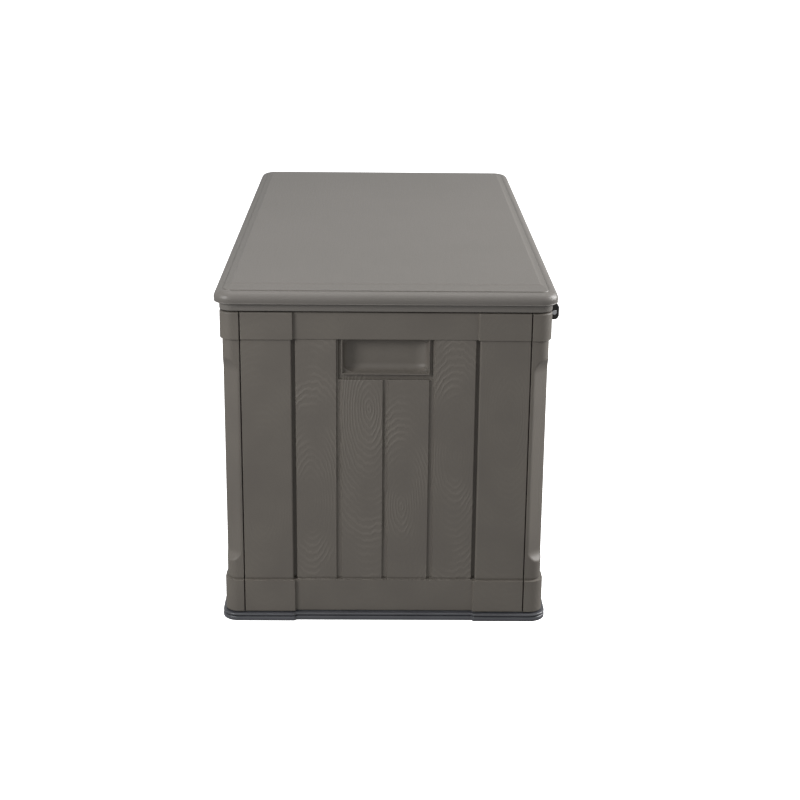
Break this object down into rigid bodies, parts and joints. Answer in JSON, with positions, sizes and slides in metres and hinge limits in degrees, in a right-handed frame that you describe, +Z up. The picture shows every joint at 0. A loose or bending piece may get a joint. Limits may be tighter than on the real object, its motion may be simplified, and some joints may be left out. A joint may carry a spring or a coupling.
{
  "type": "deck storage box",
  "caption": "Long plastic outdoor storage box with plank-pattern walls, a hand pocket in each end, a dark base and a back-hinged lid.",
  "frame": {"origin": "on the ground, below the middle of the box", "axes": "+X along the box to its right end, -Y towards the front, +Y towards the hinged back, +Z up"},
  "size_m": [1.345, 0.6586, 0.664],
  "materials": {
    "wall_plastic": "moulded wood grain, satin",
    "lid_plastic": "fine moulded streaks, satin",
    "base_plastic": "moulded, semi-matt black",
    "hardware_plastic": "moulded glass-filled nylon, black",
    "pin_steel": "turned, zinc plated",
    "screw_steel": "black zinc",
    "bumper_rubber": "matt"
  },
  "bodies": {
    "box": {"base_panel": "base_plastic", "front_panel": "wall_plastic", "back_panel": "wall_plastic", "left_end_panel": "wall_plastic", "right_end_panel": "wall_plastic", "corner_screws": "screw_steel", "base_screws": "screw_steel", "lid_bumpers": "bumper_rubber", "padlock_lug": "hardware_plastic", "padlock_lug_screws": "screw_steel", "hinge_bracket_left": "hardware_plastic", "hinge_bracket_right": "hardware_plastic", "hinge_bracket_screws": "screw_steel", "hinge_pin_left": "pin_steel", "hinge_pin_right": "pin_steel", "hinge_pin_clip_left": "pin_steel", "hinge_pin_clip_right": "pin_steel"},
    "lid": {"lid": "lid_plastic", "lid_hinge_arm_left": "hardware_plastic", "lid_hinge_arm_right": "hardware_plastic", "lid_hinge_screws": "screw_steel", "lid_padlock_eye": "hardware_plastic", "lid_eye_screws": "screw_steel"}
  },
  "joints": [
    {"name": "lid_hinge", "type": "hinge", "parent": "box", "child": "lid", "pos_m": [0, 0.3203, 0.6022], "axis": [-1, 0, 0], "range_deg": [0, 100]}
  ]
}
